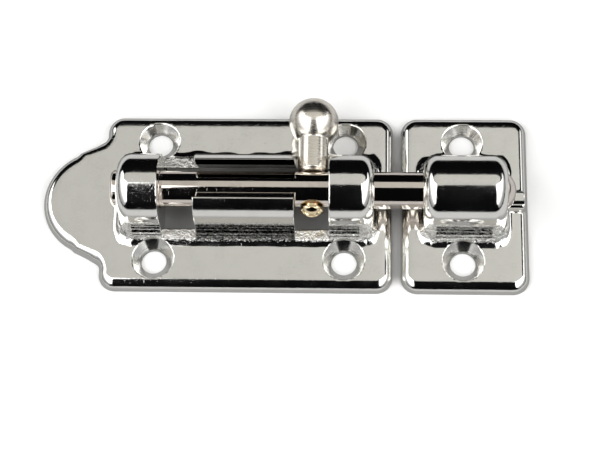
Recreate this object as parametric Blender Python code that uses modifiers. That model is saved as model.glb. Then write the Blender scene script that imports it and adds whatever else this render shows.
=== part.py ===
"""Toggle bolt latch: two cast plates, a round bolt, and a ball knob that turns down into a notch.

Frame, in metres: the origin is on the underside of the base plate, under the guide boss and on the
bolt's centreline. +X runs along the bolt towards the keeper, +Y is the side where the knob lies
when the bolt is locked, and +Z points off the door.
"""

import math

import bmesh
import bpy
from mathutils import Matrix, Vector

MM = 0.001

# Plates
PLATE_WIDTH = 40.7 * MM
PLATE_THICKNESS = 3.0 * MM
PLATE_CORNER = 3.6 * MM
PLATE_EDGE_ROUND = 1.8 * MM
PLATE_GAP = 1.7 * MM
BASE_RIGHT = 8.65 * MM
BASE_LENGTH = 63.4 * MM
BASE_LEFT_CORNER = 2.88 * MM
KEEPER_LENGTH = 27.5 * MM

# Nose of the base plate
NOSE_LENGTH = 13.2 * MM
NOSE_RADIUS = 12.2 * MM
NOSE_ARC_END = 112.0
SHOULDER_STEP = 5.55 * MM
FLARE_HOLLOW = 0.35 * MM

# Bolt
BOLT_RADIUS = 3.97 * MM
BOLT_TAIL = 1.45 * MM
BOLT_TIP = 2.0 * MM
BOLT_CHAMFER = 0.5 * MM
BOLT_DOME = 2.0 * MM
RUNNING_GAP = 0.3 * MM

# Toggle: a ball on a stem, held to the bolt by a headed stud
BALL_RADIUS = 5.4 * MM
BALL_ABOVE_PLATE = 0.3 * MM
BALL_FROM_BARREL = 2.81 * MM
STEM_RADIUS = 3.28 * MM
STEM_CHAMFER = 0.55 * MM
STEM_TIP_STEP = 0.58 * MM
STUD_RADIUS = 1.6 * MM
STUD_DEPTH = 7.6 * MM
HEAD_STANDOFF = 0.53 * MM
HEAD_RADIUS = 2.5 * MM
HEAD_EDGE = 0.55 * MM
HEAD_DOME = 1.1 * MM

# Barrel: walls, the hollow under the rails and the feet at the ends of the bosses
BARREL_WALL = 3.37 * MM
BARREL_SPREAD = 1.76 * MM
BOSS_END_ROUND = 1.9 * MM
FOOT_FILLET = 1.0 * MM
FOOT_STEP = 0.5 * MM
FOOT_STEP_ROUND = 0.45 * MM
FOOT_CORNER = 2.6 * MM
FOOT_REACH = 1.1 * MM
FOOT_LAP = 8.0 * MM
LEDGE_RISE = 0.75 * MM
SLOT_EASE = 0.09 * MM
HOLLOW_EASE = 1.23 * MM
HEAD_CLEARANCE = 0.97 * MM

# Places along the bolt
REAR_BOSS_INSET = 4.45 * MM
REAR_BOSS_LENGTH = 9.1 * MM
REAR_NOTCH = 7.5 * MM
NOTCH_CLEARANCE = 0.395 * MM
GUIDE_LEFT = -4.95 * MM
GUIDE_INSET = 4.05 * MM
KEEPER_BOSS_INSET = 4.75 * MM
KEEPER_BOSS_LENGTH = 17.7 * MM
NUB_RADIUS = 2.36 * MM
NUB_LENGTH = 4.2 * MM
NUB_SINK = 0.1 * MM

# Countersunk screw holes
HOLE_RADIUS = 2.75 * MM
SINK_RADIUS = 4.55 * MM
SINK_RELIEF = 1.6 * MM
HOLE_EDGE = 6.57 * MM
REAR_HOLE_INSET = 11.85 * MM
GUIDE_HOLE_INSET = 10.45 * MM
KEEPER_HOLE_INSET = 13.35 * MM

# How far a cutter runs past what it cuts, and how far a joined shape runs into its neighbour
OVERRUN = 4.0 * MM
LAP = 2.0 * MM
FAR = 30.0 * MM
TINY = 0.01 * MM
WELD = 0.002 * MM
SMOOTH_ANGLE = 32.0

# Worked out from the sizes above
BASE_LEFT = BASE_RIGHT - BASE_LENGTH
NOSE_CENTRE = BASE_LEFT - NOSE_LENGTH + NOSE_RADIUS
SHOULDER_HALF = PLATE_WIDTH / 2 - SHOULDER_STEP
KEEPER_LEFT = BASE_RIGHT + PLATE_GAP
KEEPER_RIGHT = KEEPER_LEFT + KEEPER_LENGTH

BOLT_HEIGHT = PLATE_THICKNESS + BALL_ABOVE_PLATE + BALL_RADIUS
BORE_RADIUS = BOLT_RADIUS + RUNNING_GAP
BARREL_RADIUS = BORE_RADIUS + BARREL_WALL
BARREL_FOOT_HALF = BARREL_RADIUS + BARREL_SPREAD
LEDGE_HEIGHT = PLATE_THICKNESS + LEDGE_RISE
SLOT_HALF = BORE_RADIUS + SLOT_EASE
HOLLOW_RADIUS = BORE_RADIUS + HOLLOW_EASE

REAR_BOSS_LEFT = BASE_LEFT + REAR_BOSS_INSET
REAR_BOSS_RIGHT = REAR_BOSS_LEFT + REAR_BOSS_LENGTH
RAIL_LEFT = REAR_BOSS_RIGHT + REAR_NOTCH
TOGGLE_X = GUIDE_LEFT - NOTCH_CLEARANCE - STEM_RADIUS
RAIL_RIGHT = TOGGLE_X - STEM_RADIUS - NOTCH_CLEARANCE
GUIDE_RIGHT = BASE_RIGHT - GUIDE_INSET
KEEPER_BOSS_LEFT = KEEPER_LEFT + KEEPER_BOSS_INSET
KEEPER_BOSS_RIGHT = KEEPER_BOSS_LEFT + KEEPER_BOSS_LENGTH
BOLT_LEFT = REAR_BOSS_LEFT - BOLT_TAIL
BOLT_RIGHT = KEEPER_BOSS_RIGHT + BOLT_TIP

HOLE_SPACING = PLATE_WIDTH / 2 - HOLE_EDGE
BASE_HOLES = (BASE_LEFT + REAR_HOLE_INSET, BASE_RIGHT - GUIDE_HOLE_INSET)
KEEPER_HOLE = KEEPER_LEFT + KEEPER_HOLE_INSET

STEM_START = BOLT_RADIUS + RUNNING_GAP
BALL_REACH = BARREL_RADIUS + BALL_FROM_BARREL + BALL_RADIUS
HEAD_SEAT = BOLT_RADIUS + HEAD_STANDOFF
HEAD_END = HEAD_SEAT + HEAD_EDGE + HEAD_DOME
HOLLOW_HALF = HEAD_END + HEAD_CLEARANCE


def clear_scene():
    for old in list(bpy.data.objects):
        bpy.data.objects.remove(old, do_unlink=True)


clear_scene()
parts = bpy.data.collections.new("toggle_bolt_latch")
cutters = bpy.data.collections.new("cutters")
bpy.context.scene.collection.children.link(parts)
bpy.context.scene.collection.children.link(cutters)


def material(name, colour, roughness, metallic=1.0):
    made = bpy.data.materials.new(name)
    made.use_nodes = True
    shader = made.node_tree.nodes["Principled BSDF"]
    shader.inputs["Base Color"].default_value = (*colour, 1.0)
    shader.inputs["Roughness"].default_value = roughness
    shader.inputs["Metallic"].default_value = metallic
    return made


def add_object(name, mesh, home=None):
    made = bpy.data.objects.new(name, mesh)
    (home or cutters).objects.link(made)
    if home is None:
        made.hide_render = True
        made.display_type = "WIRE"
    return made


def arc(centre, radius, start, end, steps):
    """Points on an arc in a plane, from the start angle to the end angle in degrees."""
    points = []
    for i in range(steps + 1):
        angle = math.radians(start + (end - start) * i / steps)
        points.append((centre[0] + radius * math.cos(angle), centre[1] + radius * math.sin(angle)))
    return points


def extruded(name, points, depth, placing):
    """A closed flat outline, extruded by depth about its plane, as a welded mesh object."""
    curve = bpy.data.curves.new(name, "CURVE")
    curve.dimensions = "2D"
    curve.fill_mode = "BOTH"
    curve.extrude = depth / 2
    spline = curve.splines.new("POLY")
    spline.points.add(len(points) - 1)
    for point, (x, y) in zip(spline.points, points):
        point.co = (x, y, 0.0, 1.0)
    spline.use_cyclic_u = True
    holder = bpy.data.objects.new(name + "_curve", curve)
    cutters.objects.link(holder)
    holder.matrix_world = placing
    bpy.context.view_layer.update()
    evaluated = holder.evaluated_get(bpy.context.evaluated_depsgraph_get())
    mesh = bpy.data.meshes.new_from_object(evaluated)
    mesh.transform(placing)
    cage = bmesh.new()
    cage.from_mesh(mesh)
    bmesh.ops.remove_doubles(cage, verts=cage.verts, dist=WELD)
    flat = math.radians(0.5)
    bmesh.ops.dissolve_limit(cage, angle_limit=flat, verts=cage.verts, edges=cage.edges)
    bmesh.ops.recalc_face_normals(cage, faces=cage.faces)
    cage.to_mesh(mesh)
    cage.free()
    bpy.data.objects.remove(holder, do_unlink=True)
    return add_object(name, mesh)


def lying(z):
    """Places an outline drawn in X and Y at a height."""
    return Matrix.Translation((0.0, 0.0, z))


def across(x):
    """Places an outline drawn in Y and Z at a station along the bolt."""
    turn = Matrix(((0, 0, 1, 0), (1, 0, 0, 0), (0, 1, 0, 0), (0, 0, 0, 1)))
    return Matrix.Translation((x, 0.0, 0.0)) @ turn


def cylinder(name, radius, start, end, direction, sides, end_radius=None):
    """A cylinder or cone that runs from start to end along a unit direction."""
    cage = bmesh.new()
    length = (Vector(end) - Vector(start)).length
    far_radius = radius if end_radius is None else end_radius
    bmesh.ops.create_cone(
        cage, cap_ends=True, segments=sides, radius1=radius, radius2=far_radius, depth=length
    )
    turn = Vector((0, 0, 1)).rotation_difference(Vector(direction)).to_matrix().to_4x4()
    middle = (Vector(start) + Vector(end)) / 2
    bmesh.ops.transform(cage, matrix=Matrix.Translation(middle) @ turn, verts=cage.verts)
    mesh = bpy.data.meshes.new(name)
    cage.to_mesh(mesh)
    cage.free()
    return add_object(name, mesh)


def bevel(target, width, segments, chosen):
    """Rounds the edges for which chosen(first end, second end) is true."""
    cage = bmesh.new()
    cage.from_mesh(target.data)
    weight = cage.edges.layers.float.new("bevel_weight_edge")
    for edge in cage.edges:
        if chosen(edge.verts[0].co, edge.verts[1].co):
            edge[weight] = 1.0
    cage.to_mesh(target.data)
    cage.free()
    rounding = target.modifiers.new("Round", "BEVEL")
    rounding.limit_method = "WEIGHT"
    rounding.width = width
    rounding.segments = segments
    rounding.use_clamp_overlap = False
    apply_modifiers(target)


def apply_modifiers(target):
    bpy.context.view_layer.update()
    evaluated = target.evaluated_get(bpy.context.evaluated_depsgraph_get())
    mesh = bpy.data.meshes.new_from_object(evaluated)
    target.modifiers.clear()
    old = target.data
    target.data = mesh
    bpy.data.meshes.remove(old)


def boolean(target, other, operation):
    step = target.modifiers.new(operation.title() + " " + other.name, "BOOLEAN")
    step.object = other
    step.operation = operation
    step.solver = "EXACT"


def finish(target, name, look, origin):
    """Bakes the modifiers, cleans slivers, sets the origin, and shades the round faces smooth."""
    apply_modifiers(target)
    target.data.transform(Matrix.Translation(-Vector(origin)))
    cage = bmesh.new()
    cage.from_mesh(target.data)
    bmesh.ops.remove_doubles(cage, verts=cage.verts, dist=TINY)
    bmesh.ops.dissolve_degenerate(cage, edges=cage.edges, dist=TINY)
    bmesh.ops.recalc_face_normals(cage, faces=cage.faces)
    cage.to_mesh(target.data)
    cage.free()
    target.name = name
    target.data.name = name
    target.location = origin
    target.hide_render = False
    target.display_type = "TEXTURED"
    for home in list(target.users_collection):
        home.objects.unlink(target)
    parts.objects.link(target)
    target.data.materials.clear()
    target.data.materials.append(look)
    target.data.shade_smooth()
    target.data.set_sharp_from_angle(angle=math.radians(SMOOTH_ANGLE))


def turned(name, profile, steps):
    """A solid turned about its Z axis. The profile is radius and height, from top to bottom."""
    cage = bmesh.new()
    verts = [cage.verts.new((radius, 0.0, height)) for radius, height in profile]
    for first, second in zip(verts, verts[1:]):
        cage.edges.new((first, second))
    mesh = bpy.data.meshes.new(name)
    cage.to_mesh(mesh)
    cage.free()
    made = add_object(name, mesh)
    turning = made.modifiers.new("Turn", "SCREW")
    turning.axis = "Z"
    turning.steps = steps
    turning.render_steps = steps
    turning.use_merge_vertices = True
    turning.merge_threshold = WELD
    apply_modifiers(made)
    return made


def rounded_rectangle(left, right, half, radius, steps):
    points = arc((right - radius, -half + radius), radius, -90, 0, steps)
    points += arc((right - radius, half - radius), radius, 0, 90, steps)
    points += arc((left + radius, half - radius), radius, 90, 180, steps)
    points += arc((left + radius, -half + radius), radius, 180, 270, steps)
    return points


def base_outline():
    """The base plate from above: a rectangle whose left end steps in to a flared, rounded nose."""
    half = PLATE_WIDTH / 2
    left_corner = BASE_LEFT_CORNER
    points = arc((BASE_RIGHT - PLATE_CORNER, -half + PLATE_CORNER), PLATE_CORNER, -90, 0, 5)
    points += arc((BASE_RIGHT - PLATE_CORNER, half - PLATE_CORNER), PLATE_CORNER, 0, 90, 5)
    points += arc((BASE_LEFT + left_corner, half - left_corner), left_corner, 90, 180, 4)
    nose = arc((NOSE_CENTRE, 0.0), NOSE_RADIUS, NOSE_ARC_END, 360 - NOSE_ARC_END, 22)
    first = nose[0]
    points += flare((BASE_LEFT, SHOULDER_HALF), first, 5)
    points += nose[1:-1]
    points += [(x, -y) for x, y in reversed(flare((BASE_LEFT, SHOULDER_HALF), first, 5))]
    points += arc((BASE_LEFT + left_corner, -half + left_corner), left_corner, 180, 270, 4)
    return points


def flare(shoulder, nose, steps):
    """A gentle hollow curve from the shoulder to the start of the nose's arc."""
    points = []
    for i in range(steps + 1):
        share = i / steps
        x = shoulder[0] + (nose[0] - shoulder[0]) * share
        y = shoulder[1] + (nose[1] - shoulder[1]) * share
        points.append((x, y - FLARE_HOLLOW * math.sin(math.pi * share)))
    return points


def plate(name, points):
    """A flat plate whose upper edge is rounded and whose underside is sharp."""
    made = extruded(name, points, PLATE_THICKNESS, lying(PLATE_THICKNESS / 2))
    top = PLATE_THICKNESS - TINY
    bevel(made, PLATE_EDGE_ROUND, 3, lambda a, b: a.z > top and b.z > top)
    return made


def barrel_section():
    """The barrel's section: a round top, flared sides and a small fillet at the foot."""
    half = BARREL_FOOT_HALF
    top = arc((0.0, BOLT_HEIGHT), BARREL_RADIUS, 0, 180, 22)
    lower = PLATE_THICKNESS + FOOT_FILLET
    fillet = arc((half + FOOT_FILLET, lower), FOOT_FILLET, 270, 180, 4)
    right = [(half + FOOT_FILLET, PLATE_THICKNESS / 2)] + fillet
    left = [(-y, z) for y, z in reversed(right)]
    return right + top + left


def foot_end(name, left, right):
    """The low step that spreads the end of a boss onto the plate."""
    points = rounded_rectangle(left, right, BARREL_FOOT_HALF + FOOT_FILLET, FOOT_CORNER, 4)
    depth = PLATE_THICKNESS / 2 + FOOT_STEP
    made = extruded(name, points, depth, lying(PLATE_THICKNESS / 2 + depth / 2))
    top = PLATE_THICKNESS + FOOT_STEP - TINY
    bevel(made, FOOT_STEP_ROUND, 2, lambda a, b: a.z > top and b.z > top)
    return made


def boss(name, left, right):
    """A length of the barrel, with its ends rounded above the foot."""
    made = extruded(name, barrel_section(), right - left, across((left + right) / 2))

    def chosen(a, b):
        low = min(a.z, b.z) < PLATE_THICKNESS + FOOT_FILLET - TINY
        at_left = max(a.x, b.x) < left + TINY
        at_right = min(a.x, b.x) > right - TINY
        return not low and (at_left or at_right)

    bevel(made, BOSS_END_ROUND, 3, chosen)
    return made


def drill_screw_holes(target, stations):
    for x in stations:
        for y in (-HOLE_SPACING, HOLE_SPACING):
            profile = [
                (0.0, PLATE_THICKNESS + SINK_RELIEF),
                (SINK_RADIUS, PLATE_THICKNESS + SINK_RELIEF),
                (SINK_RADIUS, PLATE_THICKNESS),
                (HOLE_RADIUS, PLATE_THICKNESS - (SINK_RADIUS - HOLE_RADIUS)),
                (HOLE_RADIUS, -OVERRUN),
                (0.0, -OVERRUN),
            ]
            drill = turned("drill", profile, 28)
            drill.location = (x, y, 0.0)
            boolean(target, drill, "DIFFERENCE")


def bore(target, left, right):
    start = (left, 0.0, BOLT_HEIGHT)
    end = (right, 0.0, BOLT_HEIGHT)
    boolean(target, cylinder("bore", BORE_RADIUS, start, end, (1, 0, 0), 36), "DIFFERENCE")


chrome_casting = material("chrome_casting", (0.62, 0.61, 0.57), 0.12)
chrome_keeper = material("chrome_keeper", (0.62, 0.61, 0.57), 0.12)
chrome_bolt = material("chrome_bolt", (0.6, 0.56, 0.52), 0.06)
satin_knob = material("satin_knob", (0.66, 0.6, 0.53), 0.2)
brass_stud = material("brass_stud", (0.72, 0.5, 0.2), 0.15)

# Base casting: the plate, the barrel with its rounded ends, then the hollow, notches and holes
base = plate("base", base_outline())
boolean(base, boss("barrel", REAR_BOSS_LEFT, GUIDE_RIGHT), "UNION")
rear_foot = foot_end("rear_foot", REAR_BOSS_LEFT - FOOT_REACH, REAR_BOSS_LEFT + FOOT_LAP)
boolean(base, rear_foot, "UNION")
guide_foot = foot_end("guide_foot", GUIDE_RIGHT - FOOT_LAP, GUIDE_RIGHT + FOOT_REACH)
boolean(base, guide_foot, "UNION")

slot_angle = math.degrees(math.acos(SLOT_HALF / HOLLOW_RADIUS))
hollow_right = [(HOLLOW_HALF, -OVERRUN), (HOLLOW_HALF, LEDGE_HEIGHT)]
hollow_right += arc((0.0, BOLT_HEIGHT), HOLLOW_RADIUS, 0, slot_angle, 4)
hollow_right.append((SLOT_HALF, FAR))
hollow_section = hollow_right + [(-y, z) for y, z in reversed(hollow_right)]
hollow_length = GUIDE_LEFT - REAR_BOSS_RIGHT
hollow_place = across((GUIDE_LEFT + REAR_BOSS_RIGHT) / 2)
boolean(base, extruded("hollow", hollow_section, hollow_length, hollow_place), "DIFFERENCE")

for left, right in ((REAR_BOSS_RIGHT, RAIL_LEFT), (RAIL_RIGHT, GUIDE_LEFT)):
    window = [(left, -FAR), (right, -FAR), (right, FAR), (left, FAR)]
    notch = extruded("notch", window, FAR, lying(LEDGE_HEIGHT + FAR / 2))
    boolean(base, notch, "DIFFERENCE")

bore(base, REAR_BOSS_LEFT - OVERRUN, GUIDE_RIGHT + OVERRUN)
drill_screw_holes(base, BASE_HOLES)
finish(base, "base_plate", chrome_casting, (0.0, 0.0, 0.0))

# Keeper casting: a plate, one boss with a bore, and a half-round nub beyond it
keeper_points = rounded_rectangle(KEEPER_LEFT, KEEPER_RIGHT, PLATE_WIDTH / 2, PLATE_CORNER, 5)
keeper = plate("keeper", keeper_points)
boolean(keeper, boss("keeper_boss", KEEPER_BOSS_LEFT, KEEPER_BOSS_RIGHT), "UNION")
keeper_foot = foot_end("keeper_foot", KEEPER_BOSS_LEFT - FOOT_REACH, KEEPER_BOSS_RIGHT + FOOT_REACH)
boolean(keeper, keeper_foot, "UNION")
nub_height = PLATE_THICKNESS - NUB_SINK
nub_start = (KEEPER_BOSS_RIGHT - LAP, 0.0, nub_height)
nub_end = (KEEPER_BOSS_RIGHT + NUB_LENGTH, 0.0, nub_height)
boolean(keeper, cylinder("nub", NUB_RADIUS, nub_start, nub_end, (1, 0, 0), 24), "UNION")
bore(keeper, KEEPER_BOSS_LEFT - OVERRUN, KEEPER_BOSS_RIGHT + NUB_LENGTH + OVERRUN)
drill_screw_holes(keeper, (KEEPER_HOLE,))
finish(keeper, "keeper_plate", chrome_keeper, (KEEPER_HOLE, 0.0, 0.0))

# Bolt: turned along its length, with a chamfered rear end, a domed front end and a cross hole
dome_radius = (BOLT_RADIUS**2 + BOLT_DOME**2) / (2 * BOLT_DOME)
dome_angle = math.degrees(math.asin(BOLT_RADIUS / dome_radius))
dome = arc((0.0, BOLT_RIGHT - dome_radius), dome_radius, 90, 90 - dome_angle, 6)
bolt_profile = [(max(radius, 0.0), height) for radius, height in dome]
bolt_profile.append((BOLT_RADIUS, BOLT_LEFT + BOLT_CHAMFER))
bolt_profile.append((BOLT_RADIUS - BOLT_CHAMFER, BOLT_LEFT))
bolt_profile.append((0.0, BOLT_LEFT))
bolt = turned("bolt", bolt_profile, 40)
bolt.data.transform(Matrix.Rotation(math.radians(90), 4, "Y"))
bolt.data.transform(Matrix.Translation((0.0, 0.0, BOLT_HEIGHT)))
hole_start = (TOGGLE_X, -BOLT_RADIUS - OVERRUN, BOLT_HEIGHT)
hole_end = (TOGGLE_X, BOLT_RADIUS + OVERRUN, BOLT_HEIGHT)
hole_radius = STUD_RADIUS + RUNNING_GAP
boolean(bolt, cylinder("cross_hole", hole_radius, hole_start, hole_end, (0, 1, 0), 20), "DIFFERENCE")
finish(bolt, "bolt_rod", chrome_bolt, (TOGGLE_X, 0.0, BOLT_HEIGHT))

# Toggle and its stud hang on an empty on the bolt's axis, and lie along +Y when locked
toggle_axis = bpy.data.objects.new("toggle_axis", None)
toggle_axis.location = (TOGGLE_X, 0.0, BOLT_HEIGHT)
parts.objects.link(toggle_axis)


def on_toggle(target, name, look):
    """Lays a piece turned about Z along +Y and parents it to the toggle's axis."""
    target.data.transform(Matrix.Rotation(math.radians(-90), 4, "X"))
    finish(target, name, look, (0.0, 0.0, 0.0))
    target.parent = toggle_axis


neck_angle = math.degrees(math.acos(STEM_RADIUS / BALL_RADIUS))
knob_profile = arc((0.0, BALL_REACH), BALL_RADIUS, 90, -neck_angle, 16)
knob_profile[0] = (0.0, BALL_REACH + BALL_RADIUS)
knob_profile.append((STEM_RADIUS, STEM_START + STEM_CHAMFER))
knob_profile.append((STEM_RADIUS - STEM_TIP_STEP, STEM_START))
knob_profile.append((STUD_RADIUS + RUNNING_GAP, STEM_START))
knob_profile.append((STUD_RADIUS + RUNNING_GAP, STUD_DEPTH + RUNNING_GAP))
knob_profile.append((0.0, STUD_DEPTH + RUNNING_GAP))
on_toggle(turned("knob", knob_profile, 36), "toggle_knob", satin_knob)

head_radius = (HEAD_RADIUS**2 + HEAD_DOME**2) / (2 * HEAD_DOME)
head_angle = math.degrees(math.asin(HEAD_RADIUS / head_radius))
head_centre = head_radius - HEAD_END
head = arc((0.0, head_centre), head_radius, -90 + head_angle, -90, 5)
stud_profile = [
    (0.0, STUD_DEPTH),
    (STUD_RADIUS, STUD_DEPTH),
    (STUD_RADIUS, -HEAD_SEAT),
    (HEAD_RADIUS, -HEAD_SEAT),
]
stud_profile += head[:-1]
stud_profile.append((0.0, -HEAD_END))
on_toggle(turned("stud", stud_profile, 24), "toggle_screw", brass_stud)

for spare in list(cutters.objects):
    bpy.data.objects.remove(spare, do_unlink=True)
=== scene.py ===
"""Toggle bolt latch, visual model: two chromed castings, a round bolt, a turned knob and a brass stud.

Lengths are in millimetres until a mesh is made. The castings are solid shapes given as distance
fields, joined and cut with rounds, and each field is then surfaced as a mesh whose vertices sit
near the edges and whose corner normals come from the field.
"""

import math

import bpy
import numpy as np
from mathutils import Matrix, Vector


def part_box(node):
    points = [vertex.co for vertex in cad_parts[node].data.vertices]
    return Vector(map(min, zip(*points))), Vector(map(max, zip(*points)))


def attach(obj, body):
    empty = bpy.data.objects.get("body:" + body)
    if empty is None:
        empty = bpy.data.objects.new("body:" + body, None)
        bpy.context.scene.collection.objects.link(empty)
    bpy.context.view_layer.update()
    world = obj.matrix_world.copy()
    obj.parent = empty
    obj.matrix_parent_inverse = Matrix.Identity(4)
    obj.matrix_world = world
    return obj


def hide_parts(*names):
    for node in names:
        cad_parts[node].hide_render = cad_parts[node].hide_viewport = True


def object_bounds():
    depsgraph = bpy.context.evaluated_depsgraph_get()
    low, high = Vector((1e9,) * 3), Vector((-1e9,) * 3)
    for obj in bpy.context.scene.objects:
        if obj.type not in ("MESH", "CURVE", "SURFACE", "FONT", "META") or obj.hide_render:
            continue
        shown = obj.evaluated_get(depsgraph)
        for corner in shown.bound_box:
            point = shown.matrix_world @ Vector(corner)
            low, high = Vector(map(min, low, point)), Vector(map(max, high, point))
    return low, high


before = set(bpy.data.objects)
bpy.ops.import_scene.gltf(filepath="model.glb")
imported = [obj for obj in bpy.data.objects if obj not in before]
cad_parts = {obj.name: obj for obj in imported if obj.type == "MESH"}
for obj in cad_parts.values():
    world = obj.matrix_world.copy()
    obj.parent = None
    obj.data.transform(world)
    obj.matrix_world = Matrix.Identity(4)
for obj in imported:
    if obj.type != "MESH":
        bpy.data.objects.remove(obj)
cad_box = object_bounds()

MM = 0.001


def box_mm(node):
    low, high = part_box(node)
    return [value / MM for value in low], [value / MM for value in high]


BASE_LOW, BASE_HIGH = box_mm("base_plate")
KEEPER_LOW, KEEPER_HIGH = box_mm("keeper_plate")
BOLT_LOW, BOLT_HIGH = box_mm("bolt_rod")
KNOB_LOW, KNOB_HIGH = box_mm("toggle_knob")
STUD_LOW, STUD_HIGH = box_mm("toggle_screw")

# Plates
HALF_WIDTH = BASE_HIGH[1]
PLATE_TOP = 3.0
PLATE_CORNER = 3.6
PLATE_ROUND = 2.2
BACK_ROUND = 0.2
SHOULDER_X = -54.75
SHOULDER_HALF = 14.8
NOSE_RADIUS = 12.2
NOSE_X = BASE_LOW[0] + NOSE_RADIUS
NOSE_ARC_END = math.radians(112.0)
NOSE_JOIN = 1.2
SHOULDER_JOIN = 0.7
FLARE_LAP = 4.0

# Bolt and barrel
BOLT_RADIUS = (BOLT_HIGH[2] - BOLT_LOW[2]) / 2
AXIS_Z = (BOLT_HIGH[2] + BOLT_LOW[2]) / 2
BORE_RADIUS = BOLT_RADIUS + 0.25
BASE_BORE_EASE = 0.25
KEEPER_BORE_EASE = 0.3
BARREL_RADIUS = BASE_HIGH[2] - AXIS_Z
FOOT_HALF = 9.4
COVE_POWER = 1.7
BOSS_ROUND = 3.0
FOOT_FILLET = 1.25
ROLL_OFF = 0.2
ROLL_WIDTH = 2.4
BOSS_LEAN = 0.06
END_RUN = 1.5
END_EXTRA = 0.7
CUT_EASE = 0.16
LEDGE_Z = 3.75
SLOT_HALF = 4.36
HOLLOW_RADIUS = 5.5
HOLLOW_HALF = 7.12
HOLLOW_SPREAD = 0.34

# Stations along the bolt
REAR_LEFT = -50.3
REAR_RIGHT = -41.2
RAIL_LEFT = -33.7
RAIL_RIGHT = -12.3
GUIDE_LEFT = -4.95
GUIDE_RIGHT = 4.6
KEEPER_BOSS_LEFT = 15.1
KEEPER_BOSS_RIGHT = 32.8
NUB_RADIUS = 2.36
NUB_END = 37.0
NUB_SINK = 0.1
NUB_ROUND = 0.6
NUB_JOIN = 0.35
NUB_LAP = 4.0

# Screw holes
HOLE_RADIUS = 2.75
SINK_RADIUS = 4.55
SINK_STEEPNESS = 1.1
SINK_CLEARANCE = 1.8
SINK_EASE = 0.12
HOLE_SPACING = 13.78
HOLES = ((-42.9, HOLE_SPACING), (-42.9, -HOLE_SPACING), (-1.8, HOLE_SPACING), (-1.8, -HOLE_SPACING))
KEEPER_HOLES = ((23.7, HOLE_SPACING), (23.7, -HOLE_SPACING))

# Toggle
TOGGLE_X = (STUD_LOW[0] + STUD_HIGH[0]) / 2
BALL_RADIUS = (KNOB_HIGH[0] - KNOB_LOW[0]) / 2
BALL_REACH = KNOB_HIGH[1] - BALL_RADIUS
STEM_START = KNOB_LOW[1] - 0.55
STEM_RADIUS = 3.28
HEAD_RADIUS = (STUD_HIGH[0] - STUD_LOW[0]) / 2
HEAD_END = -STUD_LOW[1]
HEAD_SEAT = 4.5
SHANK_RADIUS = 1.6

CELL = 0.36


# Distance fields --------------------------------------------------------------------------------


def join_round(first, second, radius):
    """Union of two solids with a fillet where they meet."""
    u = np.maximum(radius - first, 0.0)
    v = np.maximum(radius - second, 0.0)
    return np.maximum(radius, np.minimum(first, second)) - np.hypot(u, v)


def meet_round(first, second, radius):
    """Intersection of two solids with a rounded edge where they meet."""
    u = np.maximum(radius + first, 0.0)
    v = np.maximum(radius + second, 0.0)
    return np.minimum(-radius, np.maximum(first, second)) + np.hypot(u, v)


def cut_round(solid, tool, radius):
    return meet_round(solid, -tool, radius)


def rounded_rectangle(x, y, left, right, half, corner):
    across = np.abs(x - (left + right) / 2) - ((right - left) / 2 - corner)
    along = np.abs(y) - (half - corner)
    outside = np.hypot(np.maximum(across, 0.0), np.maximum(along, 0.0))
    return outside + np.minimum(np.maximum(across, along), 0.0) - corner


def slab(value, low, high):
    return np.maximum(low - value, value - high)


def nose_outline(x, y):
    """The rounded nose with the straight flare that runs out to the shoulder."""
    disc = np.hypot(x - NOSE_X, y) - NOSE_RADIUS
    start_x = NOSE_X + NOSE_RADIUS * math.cos(NOSE_ARC_END)
    start_y = NOSE_RADIUS * math.sin(NOSE_ARC_END)
    run = SHOULDER_X - start_x
    rise = SHOULDER_HALF - start_y
    length = math.hypot(run, rise)
    line = ((x - start_x) * -rise + (np.abs(y) - start_y) * run) / length
    flare = np.maximum(line, slab(x, start_x, SHOULDER_X + FLARE_LAP))
    return join_round(disc, flare, NOSE_JOIN)


def base_outline(x, y):
    body = rounded_rectangle(x, y, SHOULDER_X, BASE_HIGH[0], HALF_WIDTH, PLATE_CORNER)
    return join_round(body, nose_outline(x, y), SHOULDER_JOIN)


def plate(outline, z):
    """A plate with a well-rounded top edge that rolls off a little before it, and an eased back."""
    near_edge = np.clip((outline + PLATE_ROUND * 0.5 + ROLL_WIDTH) / ROLL_WIDTH, 0.0, 1.3)
    upper = meet_round(outline, z - PLATE_TOP + ROLL_OFF * near_edge**2, PLATE_ROUND)
    return meet_round(upper, -z, BACK_ROUND)


def barrel_section(y, z):
    """The barrel across the bolt: round above the axis, with coved flanks below it."""
    drop = np.clip((AXIS_Z - z) / (AXIS_Z - LEDGE_Z), 0.0, 1.4)
    spread = FOOT_HALF - BARREL_RADIUS
    half = BARREL_RADIUS + spread * drop**COVE_POWER
    slope = COVE_POWER * spread * drop ** (COVE_POWER - 1) / (AXIS_Z - LEDGE_Z)
    flank = (np.abs(y) - half) / np.sqrt(1.0 + slope**2)
    crown = np.hypot(y, z - AXIS_Z) - BARREL_RADIUS
    return np.where(z > AXIS_Z, crown, flank)


def boss(x, y, z, left, right):
    """A length of the barrel whose ends lean out slightly towards the plate."""
    lean = BOSS_LEAN * np.maximum(AXIS_Z + BARREL_RADIUS - z, 0.0) / BARREL_RADIUS
    body = meet_round(barrel_section(y, z), left - lean - x, BOSS_ROUND)
    body = meet_round(body, x - right - lean, BOSS_ROUND)
    return np.maximum(body, PLATE_TOP / 2 - z)


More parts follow.
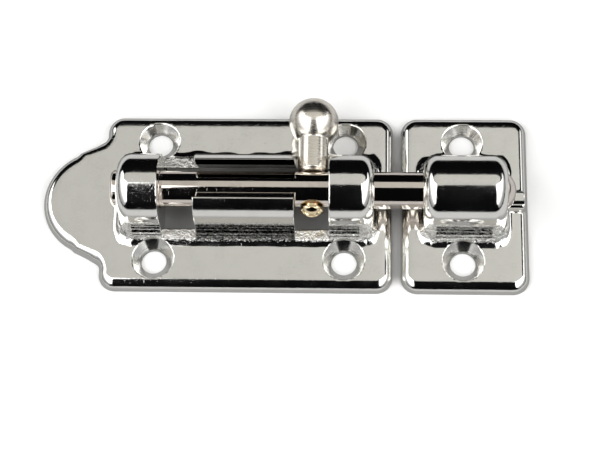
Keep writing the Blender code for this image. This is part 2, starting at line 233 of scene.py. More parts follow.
def screw_hole(x, y, z, at):
    """A countersunk hole, with a shallow clearance above the rim where it bites into a boss."""
    reach = np.hypot(x - at[0], y - at[1])
    depth = SINK_RADIUS - HOLE_RADIUS
    foot = PLATE_TOP - depth * SINK_STEEPNESS
    cone = reach - HOLE_RADIUS - (z - foot) / SINK_STEEPNESS
    cone = cone / math.hypot(1.0, 1 / SINK_STEEPNESS)
    cone = np.maximum(cone, reach - SINK_RADIUS)
    cone = np.maximum(cone, z - PLATE_TOP - SINK_CLEARANCE)
    return np.minimum(cone, reach - HOLE_RADIUS)


def hollow_section(y, z):
    """The space between the bosses: open at the back, round under the rails, a slot above."""
    tall = np.maximum(np.abs(y) - SLOT_HALF, AXIS_Z - z)
    tunnel = np.hypot(y, z - AXIS_Z) - HOLLOW_RADIUS
    wide = np.abs(y) - (HOLLOW_RADIUS + HOLLOW_SPREAD * np.maximum(AXIS_Z - z, 0.0))
    below = np.maximum(np.maximum(wide, np.abs(y) - HOLLOW_HALF), z - AXIS_Z)
    return np.minimum(np.minimum(tall, tunnel), below)


def uneven(x, y):
    """A slow wander in the size of a cast fillet."""
    far_side = np.clip(y / HALF_WIDTH, 0.0, 1.0)
    return (0.12 + 0.5 * far_side) * np.sin(0.63 * x + 1.1) * np.sin(0.31 * x + 0.25 * y)


def foot_fillet(x, y, left, right):
    """The fillet at a barrel's foot, larger towards the two ends of the barrel."""
    ends = np.maximum(left + END_RUN - x, x - right + END_RUN)
    return FOOT_FILLET + uneven(x, y) + END_EXTRA * np.clip(ends / END_RUN, 0.0, 1.0)


def base_casting(x, y, z):
    flat = plate(base_outline(x, y), z)
    barrel = boss(x, y, z, REAR_LEFT, GUIDE_RIGHT)
    solid = join_round(flat, barrel, foot_fillet(x, y, REAR_LEFT, GUIDE_RIGHT))
    hollow = np.maximum(hollow_section(y, z), slab(x, REAR_RIGHT, GUIDE_LEFT))
    solid = cut_round(solid, hollow, CUT_EASE)
    for left, right in ((REAR_RIGHT, RAIL_LEFT), (RAIL_RIGHT, GUIDE_LEFT)):
        notch = np.maximum(slab(x, left, right), LEDGE_Z - z)
        solid = cut_round(solid, notch, CUT_EASE)
    solid = cut_round(solid, np.hypot(y, z - AXIS_Z) - BORE_RADIUS, BASE_BORE_EASE)
    for at in HOLES:
        solid = cut_round(solid, screw_hole(x, y, z, at), SINK_EASE)
    return solid


def keeper_casting(x, y, z):
    outline = rounded_rectangle(x, y, KEEPER_LOW[0], KEEPER_HIGH[0], HALF_WIDTH, PLATE_CORNER)
    flat = plate(outline, z)
    body = boss(x, y, z, KEEPER_BOSS_LEFT, KEEPER_BOSS_RIGHT)
    solid = join_round(flat, body, foot_fillet(x, y, KEEPER_BOSS_LEFT, KEEPER_BOSS_RIGHT))
    ridge = np.hypot(y, z - PLATE_TOP + NUB_SINK) - NUB_RADIUS
    ridge = meet_round(ridge, x - NUB_END, NUB_ROUND)
    ridge = np.maximum(ridge, np.maximum(KEEPER_BOSS_RIGHT - NUB_LAP - x, PLATE_TOP / 2 - z))
    solid = join_round(solid, ridge, NUB_JOIN)
    solid = cut_round(solid, np.hypot(y, z - AXIS_Z) - BORE_RADIUS, KEEPER_BORE_EASE)
    for at in KEEPER_HOLES:
        solid = cut_round(solid, screw_hole(x, y, z, at), SINK_EASE)
    return solid


# Surfacing --------------------------------------------------------------------------------------


def gradient(field, points, step=0.015):
    """Unit normals of a field at points."""
    slopes = []
    for axis in range(3):
        shift = np.zeros(3)
        shift[axis] = step
        ahead = field(*(points + shift).T)
        behind = field(*(points - shift).T)
        slopes.append(ahead - behind)
    normals = np.stack(slopes, axis=1)
    return normals / np.maximum(np.linalg.norm(normals, axis=1, keepdims=True), 1e-9)


def surface(name, field, low, high, cell):
    """Meshes a distance field: one vertex per crossed cell, placed to keep sharp edges sharp."""
    low = np.array(low) - 1.5 * cell
    counts = np.ceil((np.array(high) + 1.5 * cell - low) / cell).astype(int) + 1
    grid = [low[k] + cell * np.arange(counts[k]) for k in range(3)]
    values = np.empty(counts)
    for i, x in enumerate(grid[0]):
        values[i] = field(x, grid[1][:, None], grid[2][None, :])
    inside = values < 0

    crossings, owners, flips = [], [], []
    strides = np.array([counts[1] * counts[2], counts[2], 1])
    for axis in range(3):
        near = [slice(None)] * 3
        far = [slice(None)] * 3
        near[axis], far[axis] = slice(0, -1), slice(1, None)
        changed = np.argwhere(inside[tuple(near)] != inside[tuple(far)])
        first = values[tuple(changed.T)]
        beyond = changed.copy()
        beyond[:, axis] += 1
        second = values[tuple(beyond.T)]
        points = low + cell * changed.astype(float)
        ends = points.copy()
        ends[:, axis] += cell
        share = (first / (first - second))[:, None]
        middle = points + (ends - points) * share
        for _ in range(3):
            at_middle = field(*middle.T)
            same = (at_middle < 0) == (first < 0)
            points[same], first = middle[same], np.where(same, at_middle, first)
            ends[~same], second = middle[~same], np.where(same, second, at_middle)
            share = np.clip(first / np.where(first == second, 1e-9, first - second), 0.02, 0.98)
            middle = points + (ends - points) * share[:, None]
        crossings.append(middle)
        one, two = [k for k in range(3) if k != axis]
        corners = []
        for step_one, step_two in ((0, 0), (1, 0), (1, 1), (0, 1)):
            cell_index = changed.copy()
            cell_index[:, one] -= step_one
            cell_index[:, two] -= step_two
            corners.append(cell_index @ strides)
        owners.append(np.stack(corners, axis=1))
        flip = (first > 0) == (axis != 1)
        flips.append(flip)
    points = np.concatenate(crossings)
    cells = np.concatenate(owners)
    flips = np.concatenate(flips)
    normals = gradient(field, points)

    used, numbers = np.unique(cells, return_inverse=True)
    numbers = numbers.reshape(cells.shape)
    flat = numbers.ravel()
    total = len(used)
    spread = np.repeat(points, 4, axis=0)
    facing = np.repeat(normals, 4, axis=0)
    seen = np.bincount(flat, minlength=total)
    centre = np.stack([np.bincount(flat, spread[:, k], total) for k in range(3)], axis=1)
    centre /= seen[:, None]
    offset = np.einsum("ij,ij->i", facing, spread - centre[flat])
    matrix = np.empty((total, 3, 3))
    side = np.empty((total, 3))
    for i in range(3):
        side[:, i] = np.bincount(flat, facing[:, i] * offset, total)
        for j in range(3):
            matrix[:, i, j] = np.bincount(flat, facing[:, i] * facing[:, j], total)
    matrix += np.eye(3) * 0.03
    moved = np.linalg.solve(matrix, side[:, :, None])[:, :, 0]
    origin = low + cell * np.stack(np.unravel_index(used, counts), axis=1)
    verts = np.clip(centre + moved, origin + 0.01 * cell, origin + 0.99 * cell)

    faces = numbers.copy()
    faces[flips] = faces[flips][:, ::-1]
    return make_mesh(name, verts, faces, field)


def make_mesh(name, verts, faces, field):
    """A mesh whose corner normals are read from the field just inside each face."""
    mesh = bpy.data.meshes.new(name)
    mesh.vertices.add(len(verts))
    mesh.vertices.foreach_set("co", (verts * MM).astype(np.float32).ravel())
    mesh.loops.add(faces.size)
    mesh.loops.foreach_set("vertex_index", faces.astype(np.int32).ravel())
    mesh.polygons.add(len(faces))
    mesh.polygons.foreach_set("loop_start", np.arange(0, faces.size, 4, dtype=np.int32))
    mesh.polygons.foreach_set("use_smooth", np.ones(len(faces), dtype=bool))
    mesh.update(calc_edges=True)
    mesh.validate()
    corners = verts[faces]
    middle = corners.mean(axis=1, keepdims=True)
    inner = (corners + 0.3 * (middle - corners)).reshape(-1, 3)
    mesh.normals_split_custom_set(gradient(field, inner, 0.03))
    return mesh


def add_piece(name, mesh, body, node, look):
    piece = bpy.data.objects.new(name, mesh)
    bpy.context.scene.collection.objects.link(piece)
    mesh.materials.clear()
    mesh.materials.append(look)
    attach(piece, body)
    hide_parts(node)


# Turned pieces ----------------------------------------------------------------------------------


def arc(centre, radius, start, end, steps):
    points = []
    for i in range(steps + 1):
        angle = math.radians(start + (end - start) * i / steps)
        points.append((centre[0] + radius * math.cos(angle), centre[1] + radius * math.sin(angle)))
    return points


def eased(profile, corner, before, after, radius, steps=4):
    """Adds a small round to a profile where two straight runs meet at corner."""
    corner, before, after = Vector(corner), Vector(before), Vector(after)
    start = corner + (before - corner).normalized() * radius
    end = corner + (after - corner).normalized() * radius
    for i in range(steps + 1):
        share = i / steps
        point = start * (1 - share) ** 2 + corner * 2 * share * (1 - share) + end * share**2
        profile.append((point.x, point.y))


def turned(name, profile, steps, placing):
    """A solid turned about its own axis. The profile is radius and height in mm, top to bottom."""
    mesh = bpy.data.meshes.new(name)
    verts = [(radius * MM, 0.0, height * MM) for radius, height in profile]
    edges = [(i, i + 1) for i in range(len(verts) - 1)]
    mesh.from_pydata(verts, edges, [])
    holder = bpy.data.objects.new(name, mesh)
    bpy.context.scene.collection.objects.link(holder)
    screw = holder.modifiers.new("Turn", "SCREW")
    screw.axis = "Z"
    screw.steps = steps
    screw.render_steps = steps
    screw.use_merge_vertices = True
    screw.merge_threshold = 0.000001
    bpy.context.view_layer.update()
    evaluated = holder.evaluated_get(bpy.context.evaluated_depsgraph_get())
    solid = bpy.data.meshes.new_from_object(evaluated)
    bpy.data.objects.remove(holder, do_unlink=True)
    solid.transform(placing)
    solid.shade_smooth()
    solid.set_sharp_from_angle(angle=math.radians(38.0))
    solid.name = name
    return solid


def bolt_mesh():
    """The bolt: an eased rear end and a domed front end."""
    rise = 2.0
    curve = (BOLT_RADIUS**2 + rise**2) / (2 * rise)
    sweep = math.degrees(math.asin((BOLT_RADIUS - 0.15) / curve))
    profile = arc((0.0, BOLT_HIGH[0] - curve), curve, 90, 90 - sweep, 16)
    profile[0] = (0.0, BOLT_HIGH[0])
    shoulder = (BOLT_RADIUS, BOLT_HIGH[0] - rise)
    eased(profile, shoulder, profile[-1], (BOLT_RADIUS, 0.0), 0.3)
    rear = (BOLT_RADIUS, BOLT_LOW[0] + 0.5)
    face = (BOLT_RADIUS - 0.5, BOLT_LOW[0])
    eased(profile, rear, (BOLT_RADIUS, 0.0), face, 0.15)
    eased(profile, face, rear, (0.0, BOLT_LOW[0]), 0.15)
    profile.append((0.0, BOLT_LOW[0]))
    turn = Matrix.Rotation(math.radians(90), 4, "Y")
    return turned("bolt", profile, 128, Matrix.Translation((0.0, 0.0, AXIS_Z * MM)) @ turn)


def toggle_placing():
    turn = Matrix.Rotation(math.radians(-90), 4, "X")
    return Matrix.Translation((TOGGLE_X * MM, 0.0, AXIS_Z * MM)) @ turn


def knob_mesh():
    """The knob: a ball that runs into a straight stem through a small neck, chamfered at its tip."""
    neck = 0.45
    reach = BALL_RADIUS + neck
    side = STEM_RADIUS + neck
    neck_angle = math.degrees(math.acos(side / reach))
    profile = arc((0.0, BALL_REACH), BALL_RADIUS, 90, -neck_angle, 40)
    profile[0] = (0.0, BALL_REACH + BALL_RADIUS)
    neck_height = BALL_REACH - math.sqrt(reach**2 - side**2)
    profile += arc((side, neck_height), neck, 180 - neck_angle, 180, 6)[1:]
    chamfer = (STEM_RADIUS, STEM_START + 0.55)
    tip = (2.7, STEM_START)
    eased(profile, chamfer, (STEM_RADIUS, neck_height), tip, 0.12)
    eased(profile, tip, chamfer, (0.0, STEM_START), 0.12)
    profile.append((1.9, STEM_START))
    profile.append((1.9, STUD_HIGH[1] + 0.3))
    profile.append((0.0, STUD_HIGH[1] + 0.3))
    return turned("knob", profile, 112, toggle_placing())


def stud_mesh():
    """The stud: a low domed head with an eased rim, and its shank."""
    dome = 1.15
    rim = HEAD_RADIUS - 0.12
    seat = -HEAD_SEAT
    curve = (rim**2 + dome**2) / (2 * dome)
    sweep = math.degrees(math.asin(rim / curve))
    crown = arc((0.0, -HEAD_END + curve), curve, -90 + sweep, -90, 14)
    profile = [(0.0, STUD_HIGH[1]), (SHANK_RADIUS, STUD_HIGH[1]), (SHANK_RADIUS, seat)]
    eased(profile, (HEAD_RADIUS, seat), (SHANK_RADIUS, seat), (HEAD_RADIUS, -HEAD_END), 0.1)
    eased(profile, (HEAD_RADIUS, crown[0][1]), (HEAD_RADIUS, seat), crown[1], 0.12)
    profile += crown[1:-1]
    profile.append((0.0, -HEAD_END))
    return turned("stud", profile, 72, toggle_placing())


# Node groups ------------------------------------------------------------------------------------


class Sheet:
    """Short hands for building a node tree."""

    def __init__(self, tree):
        self.tree = tree

    def add(self, kind, **settings):
        node = self.tree.nodes.new(kind)
        for key, value in settings.items():
            setattr(node, key, value)
        return node

    def feed(self, value, socket):
        if isinstance(value, (int, float, tuple)):
            socket.default_value = value
        else:
            self.tree.links.new(value, socket)

    def math(self, operation, first, second=0.0, clamp=False):
        node = self.add("ShaderNodeMath", operation=operation, use_clamp=clamp)
        self.feed(first, node.inputs[0])
        self.feed(second, node.inputs[1])
        return node.outputs[0]

    def remap(self, value, low, high, to_low=0.0, to_high=1.0):
        node = self.add("ShaderNodeMapRange", interpolation_type="SMOOTHSTEP")
        self.feed(value, node.inputs["Value"])
        limits = {"From Min": low, "From Max": high, "To Min": to_low, "To Max": to_high}
        for key, number in limits.items():
            self.feed(number, node.inputs[key])
        return node.outputs["Result"]

    def noise(self, vector, scale, detail=2.0, roughness=0.5, distortion=0.0):
        node = self.add("ShaderNodeTexNoise")
        self.feed(vector, node.inputs["Vector"])
        self.feed(scale, node.inputs["Scale"])
        self.feed(detail, node.inputs["Detail"])
        self.feed(roughness, node.inputs["Roughness"])
        self.feed(distortion, node.inputs["Distortion"])
        return node.outputs["Fac"]

    def stretch(self, vector, factors):
        node = self.add("ShaderNodeVectorMath", operation="MULTIPLY")
        self.feed(vector, node.inputs[0])
        self.feed(factors, node.inputs[1])
        return node.outputs[0]

    def mix(self, factor, first, second):
        node = self.add("ShaderNodeMix", data_type="RGBA")
        self.feed(factor, node.inputs[0])
        self.feed(first, node.inputs[6])
        self.feed(second, node.inputs[7])
        return node.outputs[2]


def new_group(name, inputs, outputs):
    """An empty node group with the named sockets. Returns its sheet, its inputs and its output node."""
    tree = bpy.data.node_groups.new(name, "ShaderNodeTree")
    for label, kind, default in inputs:
        socket = tree.interface.new_socket(name=label, in_out="INPUT", socket_type=kind)
        if default is not None:
            socket.default_value = default
    for label, kind in outputs:
        tree.interface.new_socket(name=label, in_out="OUTPUT", socket_type=kind)
    sheet = Sheet(tree)
    given = sheet.add("NodeGroupInput")
    result = sheet.add("NodeGroupOutput")
    return sheet, given.outputs, result.inputs


def plated_skin():
    """The skin of plated metal: orange peel, fine grain and scattered pits, as heights in mm."""
    inputs = [
        ("Position", "NodeSocketVector", None),
        ("Peel", "NodeSocketFloat", 0.0),
        ("Grain", "NodeSocketFloat", 0.0),
        ("Pits", "NodeSocketFloat", 0.0),
    ]
    outputs = [("Height", "NodeSocketFloat"), ("Haze", "NodeSocketFloat")]
    sheet, given, result = new_group("Plated Skin", inputs, outputs)
    where = given["Position"]
    broad = sheet.noise(where, 0.22, 2.0, 0.5)
    peel = sheet.noise(where, 0.9, 2.0, 0.5)
    grain = sheet.noise(where, 3.4, 2.0, 0.6)
    cells = sheet.noise(where, 2.1, 0.0)
    pit = sheet.remap(cells, 0.27, 0.2)
    height = sheet.math("MULTIPLY", peel, given["Peel"])
    height = sheet.math("ADD", height, sheet.math("MULTIPLY", grain, given["Grain"]))
    swell = sheet.math("MULTIPLY", sheet.math("MULTIPLY", broad, given["Peel"]), 4.0)
    height = sheet.math("ADD", height, swell)
    height = sheet.math("SUBTRACT", height, sheet.math("MULTIPLY", pit, given["Pits"]))
    sheet.feed(height, result["Height"])
    haze = sheet.math("MULTIPLY", sheet.remap(broad, 0.35, 0.7), sheet.remap(grain, 0.3, 0.75))
    sheet.feed(haze, result["Haze"])
    return sheet.tree


def tool_rings():
    """Fine rings left by turning about an axis, from the distance along or out from that axis."""
    inputs = [
        ("Travel", "NodeSocketFloat", 0.0),
        ("Pitch", "NodeSocketFloat", 0.2),
        ("Depth", "NodeSocketFloat", 0.0),
        ("Position", "NodeSocketVector", None),
    ]
    outputs = [("Height", "NodeSocketFloat"), ("Mask", "NodeSocketFloat")]
    sheet, given, result = new_group("Tool Rings", inputs, outputs)
    turns = sheet.math("DIVIDE", given["Travel"], given["Pitch"])
    line = sheet.add("ShaderNodeTexNoise", noise_dimensions="1D")
    sheet.feed(turns, line.inputs["W"])
    sheet.feed(1.0, line.inputs["Scale"])
    sheet.feed(3.0, line.inputs["Detail"])
    sheet.feed(0.65, line.inputs["Roughness"])
    patchy = sheet.remap(sheet.noise(given["Position"], 0.35, 1.0), 0.3, 0.65, 0.35, 1.0)
    depth = sheet.math("MULTIPLY", given["Depth"], patchy)
    sheet.feed(sheet.math("MULTIPLY", line.outputs["Fac"], depth), result["Height"])
    sheet.feed(sheet.remap(line.outputs["Fac"], 0.4, 0.65), result["Mask"])
    return sheet.tree


def hand_wear():
    """Hairline scratches and smears from handling: a height in mm and a roughness mask."""
    inputs = [("Position", "NodeSocketVector", None), ("Depth", "NodeSocketFloat", 0.0)]
    outputs = [("Height", "NodeSocketFloat"), ("Smear", "NodeSocketFloat")]
    sheet, given, result = new_group("Hand Wear", inputs, outputs)
    where = given["Position"]
    total = None
    for factors, scale in (((0.25, 5.0, 1.0), 1.0), ((4.0, 0.3, 1.0), 1.21)):
        moved = sheet.stretch(where, factors)
        lines = sheet.noise(moved, scale, 1.0, 0.4, 0.3)
        hair = sheet.remap(lines, 0.3, 0.26)
        total = hair if total is None else sheet.math("MAXIMUM", total, hair)
    scratch = sheet.math("MULTIPLY", given["Depth"], -1.0)
    sheet.feed(sheet.math("MULTIPLY", total, scratch), result["Height"])
    smear = sheet.remap(sheet.noise(where, 0.16, 3.0, 0.6, 0.8), 0.42, 0.7)
    sheet.feed(smear, result["Smear"])
    return sheet.tree


PLATED_SKIN = plated_skin()
TOOL_RINGS = tool_rings()
HAND_WEAR = hand_wear()


# Materials --------------------------------------------------------------------------------------


def new_material(name):
    made = bpy.data.materials.new(name)
    made.use_nodes = True
    made.node_tree.nodes.clear()
    sheet = Sheet(made.node_tree)
    shader = sheet.add("ShaderNodeBsdfPrincipled")
    output = sheet.add("ShaderNodeOutputMaterial")
    sheet.tree.links.new(shader.outputs[0], output.inputs[0])
    where = sheet.add("ShaderNodeTexCoord").outputs["Object"]
    position = sheet.stretch(where, (1000.0, 1000.0, 1000.0))
    return made, sheet, shader, position


def use_group(sheet, group, **values):
    node = sheet.add("ShaderNodeGroup", node_tree=group)
    for label, value in values.items():
        sheet.feed(value, node.inputs[label])
    return node.outputs


def bumped(sheet, shader, height):
    bump = sheet.add("ShaderNodeBump")
    sheet.feed(1.0, bump.inputs["Strength"])
    sheet.feed(MM, bump.inputs["Distance"])
    sheet.feed(height, bump.inputs["Height"])
    sheet.feed(bump.outputs[0], shader.inputs["Normal"])


def sum_of(sheet, *heights):
    total = heights[0]
    for height in heights[1:]:
        total = sheet.math("ADD", total, height)
    return total


def cast_chrome(name, holes):
    """Chrome over a casting: pebbled flats, rough flanks low on the barrel with painted shade on them,
    turned countersinks.
    """
    made, sheet, shader, position = new_material(name)
    axes = sheet.add("ShaderNodeSeparateXYZ")
    sheet.feed(position, axes.inputs[0])
    height_above = axes.outputs["Z"]
    outside = sheet.remap(sheet.math("ABSOLUTE", axes.outputs["Y"]), 7.1, 7.5)
    over_foot = sheet.remap(height_above, 4.4, 5.4)
    upper = sheet.math("MULTIPLY", over_foot, sheet.remap(height_above, 8.5, 7.7))
    upper = sheet.math("MULTIPLY", upper, outside)
    over_plate = sheet.remap(height_above, 3.3, 4.0)
    lower = sheet.math("MULTIPLY", over_plate, sheet.remap(height_above, 8.7, 7.7))
    lower = sheet.math("MULTIPLY", lower, outside)
    blotch = sheet.remap(sheet.noise(position, 0.9, 3.0, 0.7), 0.36, 0.6)
    rail = sheet.remap(axes.outputs["X"], RAIL_LEFT - 0.1, RAIL_LEFT + 0.1)
    rail_end = sheet.remap(axes.outputs["X"], RAIL_RIGHT + 0.1, RAIL_RIGHT - 0.1)
    rail = sheet.math("MULTIPLY", rail, rail_end)
    # Painted shade: the lower flanks, fully on the rails and a quarter as much on the bosses, are
    # coloured towards near black, mottled by a speckle.
    painted_flank_shade = sheet.math("MULTIPLY", lower, sheet.remap(rail, 0.0, 1.0, 0.25, 1.0))
    speckle = sheet.remap(sheet.noise(position, 1.6, 3.0, 0.7), 0.38, 0.62, 1.0, 0.6)
    painted_flank_shade = sheet.math("MULTIPLY", painted_flank_shade, speckle)
    rough_flank = sheet.math("MULTIPLY", lower, blotch)
    smeared = sheet.math("MULTIPLY", upper, sheet.remap(blotch, 0.0, 1.0, 0.45, 1.0))

    rings_height, rings_mask = 0.0, 0.0
    for at in holes:
        away = sheet.add("ShaderNodeVectorMath", operation="DISTANCE")
        flat = sheet.stretch(position, (1.0, 1.0, 0.0))
        sheet.feed(flat, away.inputs[0])
        sheet.feed((at[0], at[1], 0.0), away.inputs[1])
        reach = away.outputs["Value"]
        rings = use_group(sheet, TOOL_RINGS, Travel=reach, Pitch=0.22, Depth=0.012, Position=position)
        within = sheet.remap(reach, SINK_RADIUS + 0.05, SINK_RADIUS - 0.15)
        rings_height = sheet.math("ADD", rings_height, sheet.math("MULTIPLY", rings["Height"], within))
        rings_mask = sheet.math("MAXIMUM", rings_mask, within)

    peel = sheet.math("ADD", 0.006, sheet.math("MULTIPLY", rough_flank, 0.05))
    grain = sheet.math("ADD", 0.0022, sheet.math("MULTIPLY", rough_flank, 0.07))
    grain = sheet.math("ADD", grain, sheet.math("MULTIPLY", smeared, 0.01))
    skin = use_group(sheet, PLATED_SKIN, Position=position, Peel=peel, Grain=grain, Pits=0.004)
    wear = use_group(sheet, HAND_WEAR, Position=position, Depth=0.0015)
    bumped(sheet, shader, sum_of(sheet, skin["Height"], wear["Height"], rings_height))

    rough = sheet.math("ADD", 0.075, sheet.math("MULTIPLY", skin["Haze"], 0.05))
    rough = sheet.math("ADD", rough, sheet.math("MULTIPLY", wear["Smear"], 0.03))
    rough = sheet.math("ADD", rough, sheet.math("MULTIPLY", rough_flank, 0.2))
    rough = sheet.math("ADD", rough, sheet.math("MULTIPLY", smeared, 0.12))
    rough = sheet.math("ADD", rough, sheet.math("MULTIPLY", rings_mask, 0.05))
    sheet.feed(rough, shader.inputs["Roughness"])
    bright = (0.8, 0.795, 0.77, 1.0)
    cloudy = (0.72, 0.71, 0.685, 1.0)
    plated = sheet.mix(sheet.math("MULTIPLY", skin["Haze"], 0.8), bright, cloudy)
    # The base colour is pulled towards near black by the painted flank shade.
    sheet.feed(sheet.mix(painted_flank_shade, plated, (0.05, 0.05, 0.047, 1.0)), shader.inputs["Base Color"])
    sheet.feed(1.0, shader.inputs["Metallic"])
    return made


def rod_chrome():
    """Bright chrome over drawn rod, with faint draw lines along it and a rub where it slides."""
    made, sheet, shader, position = new_material("rod_chrome")
    drawn = sheet.noise(sheet.stretch(position, (0.04, 3.0, 3.0)), 1.0, 2.0, 0.6)
    skin = use_group(sheet, PLATED_SKIN, Position=position, Peel=0.0015, Grain=0.0006, Pits=0.002)
    wear = use_group(sheet, HAND_WEAR, Position=position, Depth=0.0012)
    drawn_height = sheet.math("MULTIPLY", drawn, 0.0012)
    bumped(sheet, shader, sum_of(sheet, skin["Height"], wear["Height"], drawn_height))
    rough = sheet.math("ADD", 0.04, sheet.math("MULTIPLY", wear["Smear"], 0.05))
    sheet.feed(rough, shader.inputs["Roughness"])
    tint = sheet.mix(wear["Smear"], (0.74, 0.68, 0.63, 1.0), (0.66, 0.6, 0.55, 1.0))
    sheet.feed(tint, shader.inputs["Base Color"])
    sheet.feed(1.0, shader.inputs["Metallic"])
    return made


def along_toggle(sheet, position):
    axes = sheet.add("ShaderNodeSeparateXYZ")
    sheet.feed(position, axes.inputs[0])
    return axes.outputs["Y"]


def satin_turned():
    """Satin plate over a turned knob: fine rings round its axis, softer on the ball."""
    made, sheet, shader, position = new_material("satin_turned")
    travel = along_toggle(sheet, position)
    rings = use_group(sheet, TOOL_RINGS, Travel=travel, Pitch=0.22, Depth=0.01, Position=position)
    skin = use_group(sheet, PLATED_SKIN, Position=position, Peel=0.002, Grain=0.001, Pits=0.003)
    wear = use_group(sheet, HAND_WEAR, Position=position, Depth=0.001)
    bumped(sheet, shader, sum_of(sheet, rings["Height"], skin["Height"], wear["Height"]))
    rough = sheet.math("ADD", 0.2, sheet.math("MULTIPLY", rings["Mask"], 0.08))
    rough = sheet.math("ADD", rough, sheet.math("MULTIPLY", wear["Smear"], 0.04))
    sheet.feed(rough, shader.inputs["Roughness"])
    tint = sheet.mix(rings["Mask"], (0.8, 0.76, 0.69, 1.0), (0.7, 0.655, 0.585, 1.0))
    sheet.feed(tint, shader.inputs["Base Color"])
    sheet.feed(1.0, shader.inputs["Metallic"])
    return made


def polished_brass():
    """Polished brass, a little browned where the smears lie."""
    made, sheet, shader, position = new_material("polished_brass")
    travel = along_toggle(sheet, position)
    rings = use_group(sheet, TOOL_RINGS, Travel=travel, Pitch=0.12, Depth=0.002, Position=position)
    skin = use_group(sheet, PLATED_SKIN, Position=position, Peel=0.002, Grain=0.001, Pits=0.002)
    wear = use_group(sheet, HAND_WEAR, Position=position, Depth=0.001)
    bumped(sheet, shader, sum_of(sheet, rings["Height"], skin["Height"], wear["Height"]))
    rough = sheet.math("ADD", 0.08, sheet.math("MULTIPLY", wear["Smear"], 0.08))
    sheet.feed(rough, shader.inputs["Roughness"])
    tint = sheet.mix(skin["Haze"], (0.88, 0.74, 0.5, 1.0), (0.7, 0.53, 0.3, 1.0))
    sheet.feed(tint, shader.inputs["Base Color"])
    sheet.feed(1.0, shader.inputs["Metallic"])
    return made


def paper_floor():
    """White paper with painted shade under the latch's hollow and in the gap between the plates. The
    metal mirrors it darker, a painted reflection with painted shade near the latch, and dark far from it.
    """
    made, sheet, shader, position = new_material("paper_floor")
    tooth = sheet.noise(position, 2.0, 2.0, 0.6)
    bumped(sheet, shader, sheet.math("MULTIPLY", tooth, 0.01))
    axes = sheet.add("ShaderNodeSeparateXYZ")
    sheet.feed(position, axes.inputs[0])
    middle = (BASE_LOW[0] + KEEPER_HIGH[0]) / 2
    reach = (KEEPER_HIGH[0] - BASE_LOW[0]) / 2
    along = sheet.math("ABSOLUTE", sheet.math("SUBTRACT", axes.outputs["X"], middle))
    side = sheet.math("ABSOLUTE", axes.outputs["Y"])
    # Painted shade on the floor under the barrel's hollow and in the gap between the plates.
    hollow = sheet.remap(axes.outputs["X"], REAR_RIGHT - 1.0, REAR_RIGHT)
    hollow = sheet.math("MULTIPLY", hollow, sheet.remap(side, 9.0, 8.0))
    hollow_end = sheet.remap(axes.outputs["X"], GUIDE_LEFT + 1.0, GUIDE_LEFT)
    hollow = sheet.math("MULTIPLY", hollow, hollow_end)
    painted_gap_shade = sheet.remap(axes.outputs["X"], BASE_HIGH[0] - 2.0, BASE_HIGH[0])
    painted_gap_shade = sheet.math("MULTIPLY", painted_gap_shade, sheet.remap(side, 20.0, 15.0))
    gap_end = sheet.remap(axes.outputs["X"], KEEPER_LOW[0] + 2.0, KEEPER_LOW[0])
    painted_gap_shade = sheet.math("MULTIPLY", painted_gap_shade, gap_end)
    painted_shade_under = sheet.math("MAXIMUM", hollow, painted_gap_shade)
    past_end = sheet.math("SUBTRACT", along, reach)
    past_side = sheet.math("SUBTRACT", side, HALF_WIDTH)
    away = sheet.math("MAXIMUM", past_end, past_side)
    # Painted reflection: glossy rays see the floor darker, with painted shade close to the latch and
    # darker still far from it.
    near = sheet.remap(away, 2.0, 12.0, 0.35, 0.6)
    mirrored = sheet.math("MULTIPLY", near, sheet.remap(away, 60.0, 400.0, 1.0, 0.2))
    # The camera sees the floor darker where the painted shade lies.
    seen = sheet.remap(painted_shade_under, 0.0, 1.0, 0.95, 0.38)
    path = sheet.add("ShaderNodeLightPath")
    shade = sheet.mix(path.outputs["Is Glossy Ray"], seen, mirrored)
    sheet.feed(shade, shader.inputs["Base Color"])
    shader.inputs["Roughness"].default_value = 0.85
    shader.inputs["Specular IOR Level"].default_value = 0.1
    return made


# Build ------------------------------------------------------------------------------------------


def build_latch():
    base = surface("base_casting", base_casting, BASE_LOW, BASE_HIGH, CELL)
    base_look = cast_chrome("base_chrome", HOLES)
    add_piece("base_casting", base, "base", "base_plate", base_look)
    keeper = surface("keeper_casting", keeper_casting, KEEPER_LOW, KEEPER_HIGH, CELL)
    keeper_look = cast_chrome("keeper_chrome", KEEPER_HOLES)
    add_piece("keeper_casting", keeper, "keeper", "keeper_plate", keeper_look)
    add_piece("round_bolt", bolt_mesh(), "bolt", "bolt_rod", rod_chrome())
    add_piece("ball_knob", knob_mesh(), "bolt", "toggle_knob", satin_turned())
    add_piece("domed_stud", stud_mesh(), "bolt", "toggle_screw", polished_brass())


def build_floor():
    mesh = bpy.data.meshes.new("floor")
    half = 3.0
    just_under = 0.00002
    height = cad_box[0][2] - just_under
    corners = [(-half, -half, height), (half, -half, height), (half, half, height), (-half, half, height)]
    mesh.from_pydata(corners, [], [(0, 1, 2, 3)])
    floor = bpy.data.objects.new("floor", mesh)
    bpy.context.scene.collection.objects.link(floor)
    mesh.materials.append(paper_floor())


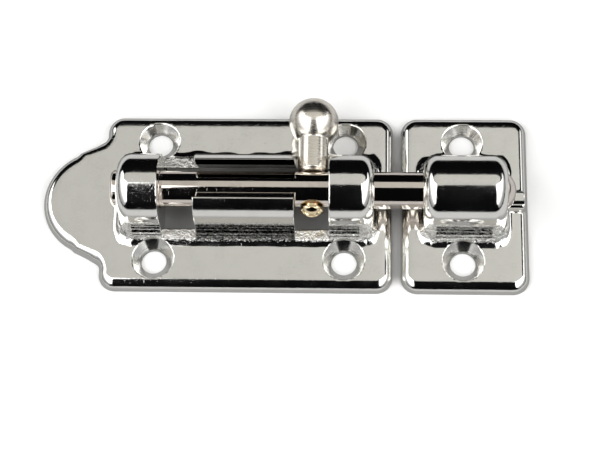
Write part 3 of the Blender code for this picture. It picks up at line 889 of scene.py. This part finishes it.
def glowing(name, radiance, colour, axis, start, end, dim):
    """A glow that rises along one axis, from a share of its full radiance up to all of it."""
    made = bpy.data.materials.new(name)
    made.use_nodes = True
    made.node_tree.nodes.clear()
    sheet = Sheet(made.node_tree)
    glow = sheet.add("ShaderNodeEmission")
    output = sheet.add("ShaderNodeOutputMaterial")
    sheet.tree.links.new(glow.outputs[0], output.inputs[0])
    axes = sheet.add("ShaderNodeSeparateXYZ")
    sheet.feed(sheet.add("ShaderNodeTexCoord").outputs["Object"], axes.inputs[0])
    rise = sheet.remap(axes.outputs[axis], start, end, radiance * dim, radiance)
    sheet.feed(rise, glow.inputs["Strength"])
    sheet.feed(colour, glow.inputs["Color"])
    return made


def soft_board(name, corners, look):
    """A glowing board of any outline. The camera doesn't see it; the metal mirrors it."""
    mesh = bpy.data.meshes.new(name)
    mesh.from_pydata(corners, [], [tuple(range(len(corners)))])
    mesh.materials.append(look)
    board = bpy.data.objects.new(name, mesh)
    board.visible_camera = False
    board.visible_shadow = False
    bpy.context.scene.collection.objects.link(board)


def build_lights():
    """A warm panel overhead, set back, and a tall white board on each side."""
    white = glowing("white_board", 3.4, (1.0, 1.0, 1.0, 1.0), "Z", 0.15, 0.6, 0.12)
    warm = glowing("warm_panel", 0.76, (1.0, 0.985, 0.925, 1.0), "X", -0.7, 0.7, 0.8)
    panel = [(-0.83, 0.22, 1.0), (-0.25, -0.085, 1.0), (0.25, -0.085, 1.0), (0.9, 0.12, 1.0)]
    panel += [(0.95, 0.62, 1.0), (-0.83, 0.62, 1.0)]
    soft_board("overhead_panel", panel, warm)
    left = [(-0.19, -0.04, 0.97), (-0.31, -0.85, 0.43), (-0.6, -0.8, 0.06), (-0.9, 0.4, 0.06)]
    left += [(-0.75, 0.6, 0.4), (-0.63, 0.36, 0.68), (-0.63, 0.17, 0.75)]
    soft_board("left_board", left, white)
    right = [(0.2, -0.04, 0.97), (0.33, -0.85, 0.43), (0.6, -0.8, 0.06), (0.9, 0.4, 0.06)]
    right += [(0.77, 0.6, 0.36), (0.82, 0.33, 0.44), (0.6, 0.08, 0.8)]
    soft_board("right_board", right, white)


def build_world():
    """Pale to the camera and dark in the metal, but pale in front when mirrored a second time."""
    world = bpy.data.worlds.new("studio")
    bpy.context.scene.world = world
    world.use_nodes = True
    world.node_tree.nodes.clear()
    sheet = Sheet(world.node_tree)
    background = sheet.add("ShaderNodeBackground")
    output = sheet.add("ShaderNodeOutputWorld")
    sheet.tree.links.new(background.outputs[0], output.inputs[0])
    path = sheet.add("ShaderNodeLightPath")
    axes = sheet.add("ShaderNodeSeparateXYZ")
    sheet.feed(sheet.add("ShaderNodeTexCoord").outputs["Generated"], axes.inputs[0])
    again = sheet.math("GREATER_THAN", path.outputs["Glossy Depth"], 1.5)
    front = sheet.math("MULTIPLY", again, sheet.remap(axes.outputs["Y"], -0.2, -0.35))
    mirrored = sheet.mix(front, (0.003, 0.003, 0.0035, 1.0), (0.6, 0.59, 0.56, 1.0))
    colour = sheet.mix(path.outputs["Is Camera Ray"], mirrored, (0.95, 0.95, 0.95, 1.0))
    sheet.feed(colour, background.inputs["Color"])


def build_camera():
    """Looks down on the latch from the knob's far side, a little off square."""
    camera_data = bpy.data.cameras.new("camera")
    camera_data.sensor_width = 36.0
    camera_data.lens = 97.43
    place = (0.00524, -0.13421, 0.3289)
    camera = bpy.data.objects.new("camera", camera_data)
    right = Vector((0.99885, 0.02443, -0.04125))
    back = Vector((0.04733, -0.36619, 0.92936)).normalized()
    right = (right - back * right.dot(back)).normalized()
    up = back.cross(right)
    turn = Matrix((right, up, back)).transposed().to_4x4()
    camera.matrix_world = Matrix.Translation(place) @ turn
    camera_data.clip_start = 0.01
    bpy.context.scene.collection.objects.link(camera)
    bpy.context.scene.camera = camera


build_camera()
build_world()
build_lights()
build_floor()
build_latch()
bpy.context.scene.view_settings.view_transform = "Standard"
